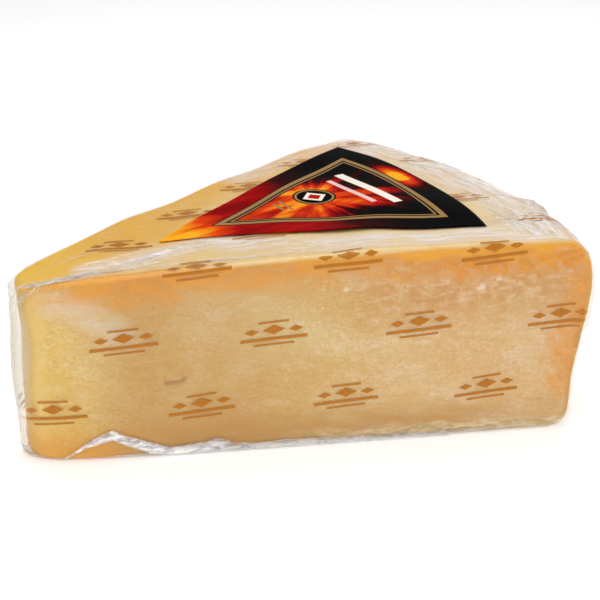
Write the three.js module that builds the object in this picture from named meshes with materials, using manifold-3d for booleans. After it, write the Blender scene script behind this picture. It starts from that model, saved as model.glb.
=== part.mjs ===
// A chunk of hard cheese, cut as a sector from a wheel and vacuum-packed in clear film,
// with a sector-shaped paper label stuck on top of the film.
//
// Millimetres, +Z up. The chunk's blunt tip points along -X and the wheel's rim along +X.
// The shapes are worked out in the wheel's own frame, whose Z axis is the wheel's axis, and
// the group then carries them to the frame with the origin under the middle of the chunk.

import * as THREE from 'three';
import { mergeVertices } from 'three/addons/utils/BufferGeometryUtils.js';
import Module from 'manifold-3d';

// ---- driving dimensions -------------------------------------------------------------------

const WHEEL_RADIUS = 200;            // the wheel that the chunk was cut from
const RIM_RADIUS_AT_BASE = 189;      // the rim leans in towards the base
const RIM_HOLLOW = 3.1;              // how far the rim is drawn in at mid height
const RIM_FULL_HEIGHT = 74.4;        // the height at which the rim would reach the full radius
const CUT_ANGLE = 41.6;              // degrees between the two cut faces
const AXIS_TO_MIDDLE = 106.07;       // from the wheel's axis to the middle of the chunk

const TOP_HEIGHT = 64.05;            // the highest ring of the top
const TOP_HIGH_RING = 167.5;         // the radius of that ring
const TOP_DROP = 10.1;               // how far the top falls from there to the wheel's axis

const CUT_EDGE_BLEND = 3.2;          // widths over which two neighbouring faces blend
const RIM_TOP_BLEND = 18.8;
const BASE_EDGE_BLEND = 7.6;
const TIP_BLEND = 28;

const RELIEF_DEPTH = 0.3;            // the faces' slow unevenness
const RELIEF_WAVE = 52;
const RELIEF_CLEAR_OF_BASE = 14;     // the height at which the unevenness is at its full depth

const LABEL_GAP = 0.3;               // between the film and the label
const LABEL_THICKNESS = 0.4;
const LABEL_APEX = [67.3, 0.5];
const LABEL_BACK_CORNER = [161.2, 52.2];
const LABEL_FRONT_CORNER = [156.2, -45.1];
const LABEL_BULGE = 7;               // how far its rim-side edge swells past a straight line
const LABEL_BULGE_STEPS = 20;

// How finely the wedge is divided: along each cut face, round the rim, and from the middle of
// the base out to its edge, up the side, and back to the middle of the top.
const CUT_STEPS = 35;
const RIM_STEPS = 22;
const BASE_RINGS = 6;
const SIDE_RINGS = 11;
const TOP_RINGS = 9;

// Pleats of spare film, each a low ridge along a path over the faces. A path's points lie near
// the surface, and each pleat has its crest height, half its width at the foot, and the steps.
const PLEATS = [
  {
    // the fold along the tip half of the top front edge
    path: [[24, -5, 56], [32, -8.3, 57], [43, -10.7, 58], [59, -12.7, 59], [76, -11.8, 61], [86, -14.5, 61]],
    height: 1.3,
    halfWidth: 1.8,
    steps: 30,
  },
  {
    // the slack film that stands off the upper part of the tip
    path: [[20.5, -2.5, 53], [20, -3, 47], [20, -3, 41], [20.5, -3, 37]],
    height: 1.1,
    halfWidth: 2.6,
    steps: 12,
  },
  {
    // the ear of gathered film on the shoulder of the rim
    path: [[182, -20, 63], [185, -27, 62], [186, -34, 61], [185, -41, 61]],
    height: 3.4,
    halfWidth: 1.5,
    steps: 14,
  },
  {
    // the peaked flap at the foot of the front face, next to the tip
    path: [[30, -10.5, 1.8], [36, -13, 6], [42.5, -16, 9.4], [47, -17.8, 8], [54, -20.5, 4.8], [61, -23, 2.2]],
    height: 1,
    halfWidth: 1.8,
    steps: 24,
  },
  {
    // the lower flap that follows it along the foot
    path: [[58, -22, 2], [66, -25, 3], [71.7, -27.2, 5], [78, -29.5, 2.8], [92, -35, 2]],
    height: 0.9,
    halfWidth: 1.6,
    steps: 20,
  },
];
const PLEAT_ROOT = 1.6;              // how deep a pleat's foot is sunk into the wedge
const PLEAT_CREST = 0.35;            // its crest's width, as a share of its foot's
const PLEAT_END_TAPER = 0.22;        // the share of its length over which each end dies away
const LOWEST_PLEAT = 0.25;           // no pleat hangs lower than this above the base

const CHEESE_IN_FILM_COLOUR = '#dcb681';
const LABEL_COLOUR = '#2a0d08';

// ---- the wedge as a field: negative inside, in millimetres ---------------------------------

function smoothMax(a, b, width) {
  const overlap = Math.max(width - Math.abs(a - b), 0) / width;
  return Math.max(a, b) + overlap * overlap * width / 4;
}

function smoothStep(value, from, to) {
  const t = Math.min(Math.max((value - from) / (to - from), 0), 1);
  return t * t * (3 - 2 * t);
}

function topHeight(radius) {
  return TOP_HEIGHT - TOP_DROP * (1 - radius / TOP_HIGH_RING) ** 2;
}

function rimRadius(z) {
  const rise = Math.min(Math.max(z / RIM_FULL_HEIGHT, 0), 1);
  const lean = WHEEL_RADIUS * rise + RIM_RADIUS_AT_BASE * (1 - rise);
  return lean - RIM_HOLLOW * 4 * rise * (1 - rise);
}

function relief(x, y, z) {
  const turn = 2 * Math.PI / RELIEF_WAVE;
  const along = Math.sin(turn * (x + 0.4 * z)) * Math.sin(turn * (0.8 * y + z) + 1);
  const across = Math.sin(turn * (1.6 * x - y) + 2) * Math.cos(turn * 1.3 * z);
  return RELIEF_DEPTH * (along + 0.6 * across) * smoothStep(z, 2, RELIEF_CLEAR_OF_BASE);
}

function packField(x, y, z) {
  const half = THREE.MathUtils.degToRad(CUT_ANGLE / 2);
  const frontCut = -Math.sin(half) * x - Math.cos(half) * y;
  const backCut = -Math.sin(half) * x + Math.cos(half) * y;
  const radius = Math.hypot(x, y);
  const cuts = smoothMax(frontCut, backCut, TIP_BLEND);
  const shoulder = smoothMax(z - topHeight(radius), radius - rimRadius(z), RIM_TOP_BLEND);
  const caps = smoothMax(shoulder, -z, BASE_EDGE_BLEND);
  return smoothMax(caps, cuts, CUT_EDGE_BLEND) - relief(x, y, z);
}

function surfaceNormal(point) {
  const step = 0.05;
  const slope = (dx, dy, dz) =>
    packField(point.x + dx, point.y + dy, point.z + dz) - packField(point.x - dx, point.y - dy, point.z - dz);
  return new THREE.Vector3(slope(step, 0, 0), slope(0, step, 0), slope(0, 0, step)).normalize();
}

function ontoSurface(point) {
  const found = point.clone();
  for (let pass = 0; pass < 12; pass += 1) {
    found.addScaledVector(surfaceNormal(found), -packField(found.x, found.y, found.z));
  }
  return found;
}

// ---- the wedge's mesh ---------------------------------------------------------------------

// Even steps that crowd together at both ends, where the edges are.
function crowdedSteps(count) {
  return Array.from({ length: count }, (_, i) => 0.5 - 0.5 * Math.cos(Math.PI * i / count));
}

// The outline of the sharp sector, from the tip along the front cut, the rim and the back cut.
function sectorOutline() {
  const half = THREE.MathUtils.degToRad(CUT_ANGLE / 2);
  const onRim = (angle) => new THREE.Vector2(Math.cos(angle), Math.sin(angle)).multiplyScalar(WHEEL_RADIUS);
  const tip = new THREE.Vector2(0, 0);
  const front = crowdedSteps(CUT_STEPS).map((t) => tip.clone().lerp(onRim(-half), t));
  const rim = crowdedSteps(RIM_STEPS).map((t) => onRim(half * (2 * t - 1)));
  const back = crowdedSteps(CUT_STEPS).map((t) => onRim(half).lerp(tip, t));
  return [...front, ...rim, ...back];
}

// Rings on the sharp sector: out over the base, up the side and in over the top.
function sharpRings() {
  const outline = sectorOutline();
  const middle = new THREE.Vector2(0.62 * WHEEL_RADIUS, 0);
  const ring = (spread, height) => outline.map((point) => {
    const flat = middle.clone().lerp(point, spread);
    return new THREE.Vector3(flat.x, flat.y, height);
  });
  const spreads = (count) => Array.from({ length: count }, (_, i) => 1 - (1 - (i + 0.7) / (count - 0.3)) ** 1.6);
  const base = spreads(BASE_RINGS).map((spread) => ring(spread, 0));
  const side = crowdedSteps(SIDE_RINGS + 1).slice(1).map((t) => ring(1, t * TOP_HEIGHT));
  const top = spreads(TOP_RINGS).reverse().map((spread) => ring(spread, TOP_HEIGHT));
  return { rings: [...base, ...side, ...top], middle };
}

// The point where a ray from an inner core through a point of the sharp sector leaves the pack.
function leavePack(sharp, middle) {
  const core = new THREE.Vector3(
    THREE.MathUtils.lerp(middle.x, sharp.x, 0.75),
    THREE.MathUtils.lerp(middle.y, sharp.y, 0.75),
    THREE.MathUtils.lerp(TOP_HEIGHT / 2, sharp.z, 0.5),
  );
  const ray = sharp.clone().sub(core);
  let inside = 0;
  let outside = 1.6;
  for (let pass = 0; pass < 40; pass += 1) {
    const share = (inside + outside) / 2;
    const at = core.clone().addScaledVector(ray, share);
    if (packField(at.x, at.y, at.z) < 0) inside = share;
    else outside = share;
  }
  const found = core.clone().addScaledVector(ray, inside);
  if (Math.abs(found.z) < 1e-4) found.z = 0;
  return found;
}

// A closed body from rings of points: walls between the rings and a fan over each end.
function closedBody(rings) {
  const count = rings[0].length;
  const points = rings.flat();
  const middleOf = (ring) => ring.reduce((sum, point) => sum.add(point), new THREE.Vector3()).divideScalar(count);
  points.push(middleOf(rings[0]), middleOf(rings[rings.length - 1]));
  const triangles = [];
  for (let row = 0; row < rings.length - 1; row += 1) {
    for (let i = 0; i < count; i += 1) {
      const next = (i + 1) % count;
      const [a, b] = [row * count + i, row * count + next];
      const [c, d] = [a + count, b + count];
      triangles.push(a, b, d, a, d, c);
    }
  }
  const lastRow = (rings.length - 1) * count;
  for (let i = 0; i < count; i += 1) {
    const next = (i + 1) % count;
    triangles.push(points.length - 2, next, i, points.length - 1, lastRow + i, lastRow + next);
  }
  const geometry = new THREE.BufferGeometry().setFromPoints(points);
  geometry.setIndex(triangles);
  return geometry;
}

function wedgeGeometry() {
  const { rings, middle } = sharpRings();
  return closedBody(rings.map((ring) => ring.map((point) => leavePack(point, middle))));
}

// ---- pleats of spare film -----------------------------------------------------------------

// A ridge along a path on the surface: its foot is sunk into the wedge and its crest is rounded.
function pleatGeometry({ path, height, halfWidth, steps }) {
  const curve = new THREE.CatmullRomCurve3(path.map((point) => new THREE.Vector3(...point)));
  const feet = curve.getSpacedPoints(steps).map(ontoSurface);
  const rings = feet.map((foot, i) => {
    const share = i / steps;
    const swell = smoothStep(Math.min(share, 1 - share), -0.03, PLEAT_END_TAPER);
    const ahead = feet[Math.min(i + 1, steps)].clone().sub(feet[Math.max(i - 1, 0)]).normalize();
    const out = surfaceNormal(foot);
    const across = new THREE.Vector3().crossVectors(out, ahead).normalize();
    const wide = halfWidth * (0.4 + 0.6 * swell);
    const high = height * swell;
    const section = [
      [-wide, -PLEAT_ROOT],
      [wide, -PLEAT_ROOT],
      [0.8 * wide, 0.35 * high],
      [PLEAT_CREST * wide, high],
      [-PLEAT_CREST * wide, high],
      [-0.8 * wide, 0.35 * high],
    ];
    return section.map(([side, up]) => {
      const point = foot.clone().addScaledVector(across, side).addScaledVector(out, up);
      point.z = Math.max(point.z, LOWEST_PLEAT);
      return point;
    });
  });
  return closedBody(rings);
}

// ---- joining and cutting ------------------------------------------------------------------

const wasm = await Module();
wasm.setup();

function toManifold(geometry) {
  const bare = geometry.clone();
  bare.deleteAttribute('normal');
  bare.deleteAttribute('uv');
  const merged = mergeVertices(bare);
  const mesh = new wasm.Mesh({
    numProp: 3,
    vertProperties: new Float32Array(merged.attributes.position.array),
    triVerts: new Uint32Array(merged.index.array),
  });
  const solid = new wasm.Manifold(mesh);
  if (solid.volume() < 0) throw new Error('a body is inside out');
  return solid;
}

function toGeometry(solid) {
  const mesh = solid.getMesh();
  const geometry = new THREE.BufferGeometry();
  geometry.setAttribute('position', new THREE.BufferAttribute(new Float32Array(mesh.vertProperties), 3));
  geometry.setIndex(new THREE.BufferAttribute(new Uint32Array(mesh.triVerts), 1));
  geometry.computeVertexNormals();
  return geometry;
}

// ---- the label ----------------------------------------------------------------------------

// The label's outline: two straight edges from its apex and a swelling edge on the rim's side.
function labelOutline() {
  const apex = new THREE.Vector2(...LABEL_APEX);
  const front = new THREE.Vector2(...LABEL_FRONT_CORNER);
  const back = new THREE.Vector2(...LABEL_BACK_CORNER);
  const chord = back.clone().sub(front);
  const outward = new THREE.Vector2(chord.y, -chord.x).normalize();
  const swelling = Array.from({ length: LABEL_BULGE_STEPS + 1 }, (_, i) => {
    const t = i / LABEL_BULGE_STEPS;
    return front.clone().lerp(back, t).addScaledVector(outward, LABEL_BULGE * 4 * t * (1 - t));
  });
  return [apex, ...swelling];
}

// A sheet that follows the film's top at a steady height above it.
function labelSolid(wedge) {
  const prism = new THREE.ExtrudeGeometry(new THREE.Shape(labelOutline()), {
    depth: TOP_HEIGHT,
    bevelEnabled: false,
  });
  prism.translate(0, 0, TOP_HEIGHT / 2);
  const under = wedge.translate([0, 0, LABEL_GAP]);
  const over = wedge.translate([0, 0, LABEL_GAP + LABEL_THICKNESS]);
  return toManifold(prism).intersect(over).subtract(under);
}

// ---- the object ---------------------------------------------------------------------------

function namedMesh(name, solid, material) {
  const mesh = new THREE.Mesh(toGeometry(solid), new THREE.MeshStandardMaterial(material));
  mesh.name = name;
  return mesh;
}

const wedge = toManifold(wedgeGeometry());
const pack = PLEATS.reduce((sum, pleat) => sum.add(toManifold(pleatGeometry(pleat))), wedge);

const group = new THREE.Group();
group.add(namedMesh('cheese_pack', pack, { color: CHEESE_IN_FILM_COLOUR, roughness: 0.35, metalness: 0 }));
group.add(namedMesh('label', labelSolid(wedge), { color: LABEL_COLOUR, roughness: 0.3, metalness: 0 }));
group.position.x = -AXIS_TO_MIDDLE;

export default group;
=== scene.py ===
"""A vacuum-packed chunk of hard cheese with a paper label, dressed for the render.

Shapes are worked out in millimetres in the frame of the wheel that the chunk was cut from, whose
Z axis is the wheel's axis. to_row() carries them to the row's frame, in metres.
"""

import math
from types import SimpleNamespace

import bpy
import numpy as np
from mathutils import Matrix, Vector


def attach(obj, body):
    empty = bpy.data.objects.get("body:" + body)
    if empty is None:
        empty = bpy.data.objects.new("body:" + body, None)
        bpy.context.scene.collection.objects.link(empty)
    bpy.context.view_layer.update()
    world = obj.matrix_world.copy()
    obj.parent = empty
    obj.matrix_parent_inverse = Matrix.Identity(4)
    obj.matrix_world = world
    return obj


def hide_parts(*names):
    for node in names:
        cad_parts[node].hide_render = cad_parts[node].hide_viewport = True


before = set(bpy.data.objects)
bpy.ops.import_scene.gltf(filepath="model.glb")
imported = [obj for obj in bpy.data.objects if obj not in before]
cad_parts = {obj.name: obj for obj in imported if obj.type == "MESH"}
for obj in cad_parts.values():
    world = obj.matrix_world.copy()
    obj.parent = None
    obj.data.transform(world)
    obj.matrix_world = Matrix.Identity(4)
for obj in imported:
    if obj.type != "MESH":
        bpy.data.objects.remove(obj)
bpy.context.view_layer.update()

# ---- driving dimensions, in millimetres and degrees ---------------------------------------------

# The wheel and the cut, as the solids have them.
WHEEL_RADIUS = 200.0
RIM_RADIUS_AT_BASE = 189.0
RIM_HOLLOW = 3.1
RIM_FULL_HEIGHT = 74.4
CUT_ANGLE = 41.6
AXIS_TO_MIDDLE = 106.07
TOP_HEIGHT = 64.05
TOP_HIGH_RING = 167.5
TOP_DROP = 10.1
RIM_TOP_BLEND = 18.8
BASE_EDGE_BLEND = 7.6
TIP_BLEND = 28.0
RELIEF_DEPTH = 0.3
RELIEF_WAVE = 52.0
RELIEF_CLEAR_OF_BASE = 14.0
MIDDLE_X = 0.62 * WHEEL_RADIUS
HALF = math.radians(CUT_ANGLE / 2)
ALONG_FRONT = np.array([math.cos(HALF), -math.sin(HALF), 0.0])

# The edges between the cuts and the rest, which are crisper here than in the solids.
FILM_EDGE_BLEND = 1.7
CHEESE_EDGE_BLEND = 2.0

# The cheese inside the film, whose tip stops short of the film's.
FILM_STAND_OFF = 0.2
CHEESE_TIP_HEIGHTS = (5.0, 28.0, 40.0, 53.0)
CHEESE_TIP_X = (20.3, 22.0, 22.7, 21.4)
CHEESE_TIP_BLEND = 4.0

# The label.
LABEL_LIFT = 0.45
LABEL_THICKNESS = 0.22
LABEL_APEX = np.array([67.3, 0.5])
LABEL_BACK_CORNER = np.array([161.2, 52.2])
LABEL_FRONT_CORNER = np.array([156.2, -45.1])
LABEL_BULGE = 7.0

# The print on the film: a brick layout of one motif.
PRINT_SPACING = 44.0
PRINT_ROW = 22.5
PRINT_TILT = 4.0
PRINT_SHIFT = (7.0, 5.3)

# Steps round the outline, along the front cut, the rim and the back cut, and rings over the base,
# up the side and over the top.
FILM_STEPS = {"outline": (250, 130, 150), "rings": (12, 84, 66)}
CHEESE_STEPS = {"outline": (260, 110, 150), "rings": (10, 78, 44)}

SEED = 7


# ---- the wedge as a field: negative inside ------------------------------------------------------

def smooth_max(a, b, width):
    overlap = np.maximum(width - np.abs(a - b), 0) / width
    return np.maximum(a, b) + overlap * overlap * width / 4


def smooth_step(value, low, high):
    t = np.clip((value - low) / (high - low), 0, 1)
    return t * t * (3 - 2 * t)


def top_height(radius):
    return TOP_HEIGHT - TOP_DROP * (1 - radius / TOP_HIGH_RING) ** 2


def rim_radius(z):
    rise = np.clip(z / RIM_FULL_HEIGHT, 0, 1)
    lean = WHEEL_RADIUS * rise + RIM_RADIUS_AT_BASE * (1 - rise)
    return lean - RIM_HOLLOW * 4 * rise * (1 - rise)


def relief(x, y, z):
    turn = 2 * math.pi / RELIEF_WAVE
    along = np.sin(turn * (x + 0.4 * z)) * np.sin(turn * (0.8 * y + z) + 1)
    across = np.sin(turn * (1.6 * x - y) + 2) * np.cos(turn * 1.3 * z)
    return RELIEF_DEPTH * (along + 0.6 * across) * smooth_step(z, 2, RELIEF_CLEAR_OF_BASE)


def in_from_cuts(points):
    """How far each point lies in from the front cut and from the back cut."""
    x, y, _ = points.T
    inward, across = x * math.sin(HALF), y * math.cos(HALF)
    return inward + across, inward - across


def under_top(points):
    """How far each point lies under the flat of the wheel."""
    return top_height(np.hypot(*points[:, :2].T)) - points[:, 2]


def outside_rim(points):
    """How far each point lies outside the rim, which is hollow from top to bottom."""
    return np.hypot(*points[:, :2].T) - rim_radius(points[:, 2])


def pack_field(points, edge_blend=FILM_EDGE_BLEND):
    """The film's outer side: below 0 inside it."""
    x, y, z = points.T
    in_from_front, in_from_back = in_from_cuts(points)
    radius = np.hypot(x, y)
    cuts = smooth_max(-in_from_front, -in_from_back, TIP_BLEND)
    shoulder = smooth_max(z - top_height(radius), radius - rim_radius(z), RIM_TOP_BLEND)
    caps = smooth_max(shoulder, -z, BASE_EDGE_BLEND)
    return smooth_max(caps, cuts, edge_blend) - relief(x, y, z)


def beyond_tip(points):
    """How far each point lies beyond the cheese's own tip."""
    return np.interp(points[:, 2], CHEESE_TIP_HEIGHTS, CHEESE_TIP_X) - points[:, 0]


def cheese_field(points):
    """The cheese lies a little inside its film, which stands clear of its blunt tip."""
    body = pack_field(points, CHEESE_EDGE_BLEND) + FILM_STAND_OFF
    return smooth_max(body, beyond_tip(points), CHEESE_TIP_BLEND)


def unit(vector):
    return vector / np.linalg.norm(vector)


def field_normals(points, field=pack_field, step=0.05):
    slopes = [field(points + step * axis) - field(points - step * axis) for axis in np.eye(3)]
    slopes = np.stack(slopes, axis=1)
    return slopes / np.linalg.norm(slopes, axis=1, keepdims=True)


def onto_surface(points):
    """Points near the film, brought onto it."""
    found = np.array(points, float)
    for _ in range(12):
        found = found - field_normals(found) * pack_field(found)[:, None]
    return found


def to_row(points):
    """From the wheel's frame in millimetres to the row's frame in metres."""
    return (np.asarray(points, float) - (AXIS_TO_MIDDLE, 0, 0)) / 1000


# ---- closed ring grids --------------------------------------------------------------------------

def crowded(count, crowding=1.0):
    """Steps from 0 up to 1, without 1, that crowd together at both ends."""
    even = np.arange(count) / count
    return (1 - crowding) * even + crowding * (0.5 - 0.5 * np.cos(np.pi * even))


def sector_outline(front_steps, rim_steps, back_steps):
    """The sharp sector's outline, from the tip along the front cut, the rim and the back cut."""
    def on_rim(angle):
        return WHEEL_RADIUS * np.stack([np.cos(angle), np.sin(angle)], axis=-1)
    front = crowded(front_steps, 0.6)[:, None] * on_rim(np.array(-HALF))
    rim = on_rim(HALF * (2 * crowded(rim_steps, 0.5) - 1))
    back = (1 - crowded(back_steps, 0.6))[:, None] * on_rim(np.array(HALF))
    return np.concatenate([front, rim, back])


def sharp_rings(outline, base_rings, side_rings, top_rings):
    """Rings on the sharp sector: out over the base, up the side and in over the top."""
    middle = np.array([MIDDLE_X, 0.0])

    def ring(spread, height):
        flat = middle + spread * (outline - middle)
        return np.column_stack([flat, np.full(len(flat), height)])

    def spreads(count):
        return 1 - (1 - (np.arange(count) + 0.5) / (count - 0.4)) ** 1.45
    base = [ring(s, 0.0) for s in spreads(base_rings)]
    side = [ring(1.0, t * TOP_HEIGHT) for t in crowded(side_rings + 1, 0.7)[1:]]
    top = [ring(s, TOP_HEIGHT) for s in spreads(top_rings)[::-1]]
    return np.array(base + side + top)


def leave(field, sharp, passes=26):
    """Where rays from an inner core through the sharp sector's points leave the field."""
    shape = sharp.shape
    sharp = sharp.reshape(-1, 3)
    middle = np.array([MIDDLE_X, 0.0, TOP_HEIGHT / 2])
    core = middle + (sharp - middle) * (0.75, 0.75, 0.5)
    inside = np.zeros(len(sharp))
    outside = np.full(len(sharp), 1.6)
    for _ in range(passes):
        share = (inside + outside) / 2
        within = field(core + (sharp - core) * share[:, None]) < 0
        inside = np.where(within, share, inside)
        outside = np.where(within, outside, share)
    return (core + (sharp - core) * inside[:, None]).reshape(shape)


def ring_faces(rings, count):
    """Quads between closed rings, and the two fans that close the ends, whose hubs come last."""
    row = np.arange(rings - 1)[:, None] * count
    here = np.arange(count)
    ahead = (here + 1) % count
    quads = np.stack([row + here, row + ahead, row + count + ahead, row + count + here], axis=-1)
    first_hub = rings * count
    low_fan = [(first_hub, int(b), int(a)) for a, b in zip(here, ahead)]
    last = (rings - 1) * count
    high_fan = [(first_hub + 1, int(last + a), int(last + b)) for a, b in zip(here, ahead)]
    return [tuple(q) for q in quads.reshape(-1, 4).tolist()] + low_fan + high_fan


def closed_skin(field, steps):
    """The points and faces of a closed skin on a field."""
    grid = leave(field, sharp_rings(sector_outline(*steps["outline"]), *steps["rings"]))
    hubs = np.stack([grid[0].mean(axis=0), grid[-1].mean(axis=0)])
    return np.concatenate([grid.reshape(-1, 3), hubs]), ring_faces(*grid.shape[:2])


def strip_faces(rows, columns, first=0):
    """Quads between open rows of points, which are counted from first."""
    here = first + np.arange(rows - 1)[:, None] * columns + np.arange(columns - 1)
    quads = np.stack([here, here + 1, here + columns + 1, here + columns], axis=-1)
    return [tuple(q) for q in quads.reshape(-1, 4).tolist()]


# ---- Blender pieces -----------------------------------------------------------------------------

def put_in_scene(name, data):
    made = bpy.data.objects.new(name, data)
    bpy.context.scene.collection.objects.link(made)
    return made


def new_piece(name, points, faces, material, stands_for="cheese_pack"):
    """A smooth mesh of points in the wheel's frame, riding on the one body."""
    mesh = bpy.data.meshes.new(name)
    mesh.from_pydata(to_row(points).tolist(), [], faces)
    mesh.update()
    mesh.polygons.foreach_set("use_smooth", [True] * len(mesh.polygons))
    mesh.materials.append(material)
    piece = put_in_scene(name, mesh)
    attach(piece, "root")
    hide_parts(stands_for)
    return piece


def set_attributes(piece, **values):
    """One number at each point, for the materials to read."""
    for name, numbers in values.items():
        attribute = piece.data.attributes.new(name, "FLOAT", "POINT")
        attribute.data.foreach_set("value", np.asarray(numbers, np.float32))


def mesh_numbers(items, name, kind, width=1):
    numbers = np.zeros(len(items) * width, kind)
    items.foreach_get(name, numbers)
    return numbers if width == 1 else numbers.reshape(-1, width)


def set_corner_map(piece, name, point_map):
    """A UV map whose corners take point_map(points, normals of their faces), in millimetres."""
    mesh = piece.data
    wheel = mesh_numbers(mesh.vertices, "co", float, 3) * 1000 + (AXIS_TO_MIDDLE, 0, 0)
    corners = mesh_numbers(mesh.loops, "vertex_index", np.int32)
    normals = mesh_numbers(mesh.polygons, "normal", float, 3)
    of_face = np.repeat(np.arange(len(normals)), mesh_numbers(mesh.polygons, "loop_total", np.int32))
    uv = point_map(wheel[corners], normals[of_face])
    mesh.uv_layers.new(name=name).data.foreach_set("uv", uv.astype(np.float32).ravel())


# ---- node helpers -------------------------------------------------------------------------------

def linear(red, green, blue):
    """A colour given as it shows on a screen, from 0 to 255, as Blender's linear numbers."""
    def one(value):
        value /= 255
        return value / 12.92 if value <= 0.04045 else ((value + 0.055) / 1.055) ** 2.4
    return (one(red), one(green), one(blue), 1.0)


WHITE = (1, 1, 1, 1)


class Nodes:
    """Adds nodes to a tree. What goes into a node is a socket or a plain value."""

    def __init__(self, tree):
        self.tree = tree

    def put(self, socket, value):
        if isinstance(value, bpy.types.NodeSocket):
            self.tree.links.new(value, socket)
        else:
            socket.default_value = value

    def node(self, kind, values=(), **settings):
        made = self.tree.nodes.new(kind)
        for key, value in settings.items():
            setattr(made, key, value)
        for key, value in dict(values).items():
            self.put(made.inputs[key], value)
        return made

    def math(self, operation, *values):
        return self.node("ShaderNodeMath", enumerate(values), operation=operation).outputs[0]

    def plus(self, first, second):
        return self.math("ADD", first, second)

    def minus(self, first, second):
        return self.math("SUBTRACT", first, second)

    def over(self, first, second):
        return self.math("DIVIDE", first, second)

    def away(self, value, middle):
        """How far a value is from a middle."""
        return self.math("ABSOLUTE", self.minus(value, middle))

    def joined(self, operation, values):
        result = values[0]
        for value in values[1:]:
            result = self.math(operation, value, result)
        return result

    def times(self, *values):
        return self.joined("MULTIPLY", values)

    def largest(self, *values):
        return self.joined("MAXIMUM", values)

    def least(self, *values):
        return self.joined("MINIMUM", values)

    def blend(self, share, first, second):
        """A number that goes from the first to the second as the share goes from 0 to 1."""
        return self.math("MULTIPLY_ADD", share, self.minus(second, first), first)

    def vector(self, operation, *values):
        made = self.node("ShaderNodeVectorMath", enumerate(values), operation=operation)
        is_value = operation in ("DOT_PRODUCT", "LENGTH", "DISTANCE")
        return made.outputs["Value" if is_value else "Vector"]

    def attribute(self, name):
        return self.node("ShaderNodeAttribute", attribute_name=name).outputs["Fac"]

    def place(self):
        """The point in the wheel's frame, in millimetres."""
        at = self.node("ShaderNodeTexCoord").outputs["Object"]
        scaled = self.vector("SCALE", at)
        scaled.node.inputs["Scale"].default_value = 1000
        return self.vector("ADD", scaled, (AXIS_TO_MIDDLE, 0, 0))

    def split(self, vector):
        made = self.node("ShaderNodeSeparateXYZ", {"Vector": vector})
        return made.outputs["X"], made.outputs["Y"], made.outputs["Z"]

    def join(self, x, y, z=0.0):
        return self.node("ShaderNodeCombineXYZ", {"X": x, "Y": y, "Z": z}).outputs[0]

    def turned(self, vector, stretch=(1, 1, 1), turn=(0, 0, 0)):
        """The vector, turned and then stretched."""
        spun = self.node(
            "ShaderNodeMapping",
            {"Vector": vector, "Rotation": tuple(math.radians(a) for a in turn)},
        ).outputs[0]
        return self.vector("MULTIPLY", spun, stretch)

    def noise(self, vector, size, detail=3.0, roughness=0.5, distortion=0.0):
        """Noise from 0 to 1 whose patches are about size millimetres wide."""
        made = self.node(
            "ShaderNodeTexNoise",
            {"Vector": vector, "Scale": 1.0 / size, "Detail": detail, "Roughness": roughness,
             "Distortion": distortion},
        )
        return made.outputs["Fac"]

    def ramp(self, value, low, high, start=0.0, end=1.0):
        """The value, carried smoothly from low..high to start..end."""
        made = self.node(
            "ShaderNodeMapRange",
            {"Value": value, "From Min": low, "From Max": high, "To Min": start, "To Max": end},
            interpolation_type="SMOOTHSTEP",
        )
        return made.outputs["Result"]

    def mix(self, share, first, second):
        """A colour that goes from the first to the second as the share goes from 0 to 1."""
        made = self.node("ShaderNodeMix", data_type="RGBA", clamp_factor=True)
        for name, value in (("Factor", share), ("A", first), ("B", second)):
            self.put(made.inputs[name], value)
        return made.outputs["Result"]

    def layered(self, under, layers):
        """Colours laid over one another, each by the product of the shares behind it."""
        for colour, *shares in layers:
            under = self.mix(self.times(*shares), under, colour)
        return under

    def colours(self, value, stops):
        """A colour ramp through (place, colour) stops."""
        made = self.node("ShaderNodeValToRGB", {"Fac": value})
        ramp = made.color_ramp
        while len(ramp.elements) < len(stops):
            ramp.elements.new(0.5)
        for element, (place, colour) in zip(ramp.elements, stops):
            element.position = place
            element.color = colour
        return made.outputs["Color"]

    def bump(self, height, strength, depth=0.001, below=None):
        values = {"Height": height, "Strength": strength, "Distance": depth}
        if below is not None:
            values["Normal"] = below
        return self.node("ShaderNodeBump", values).outputs["Normal"]


class Shade(Nodes):
    """One material's node tree."""

    def __init__(self, name):
        self.material = bpy.data.materials.new(name)
        self.material.use_nodes = True
        super().__init__(self.material.node_tree)
        self.tree.nodes.clear()

    def mixed(self, share, first, second):
        """A shader that goes from the first to the second as the share goes from 0 to 1."""
        values = {0: share, 1: first.outputs[0], 2: second.outputs[0]}
        return self.node("ShaderNodeMixShader", values)

    def principled(self, values):
        return self.finish(self.node("ShaderNodeBsdfPrincipled", values))

    def finish(self, shader):
        self.node("ShaderNodeOutputMaterial", {"Surface": shader.outputs[0]})
        return self.material


# ---- the cheese ---------------------------------------------------------------------------------

CHEESE_PALE = linear(220, 194, 134)
CHEESE_TAN = linear(214, 174, 102)
CHEESE_PINK = linear(222, 180, 128)
CHEESE_YELLOW = linear(230, 192, 84)
TIP_YELLOW_AND_PAINTED_LIGHT = linear(242, 208, 124)
CHEESE_ORANGE = linear(230, 152, 10)
CHEESE_GOLD = linear(236, 168, 8)
CHEESE_RUSSET = linear(200, 127, 38)
CHEESE_BROWN = linear(194, 142, 66)
CHEESE_FOOT = linear(190, 168, 118)
CHEESE_ROSE = linear(228, 196, 160)
CHEESE_VEIN = linear(232, 212, 172)
CHEESE_CRYSTAL = linear(246, 236, 214)
# Painted shade for the sunk faults of the cut face.
PAINTED_HOLLOW_SHADE = linear(168, 116, 66)
TOP_ORANGE = linear(230, 176, 46)
TOP_YELLOW = linear(242, 194, 42)
TOP_PALE = linear(234, 206, 146)
RIND = linear(212, 158, 72)
RIND_DARK = linear(194, 138, 58)

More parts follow.
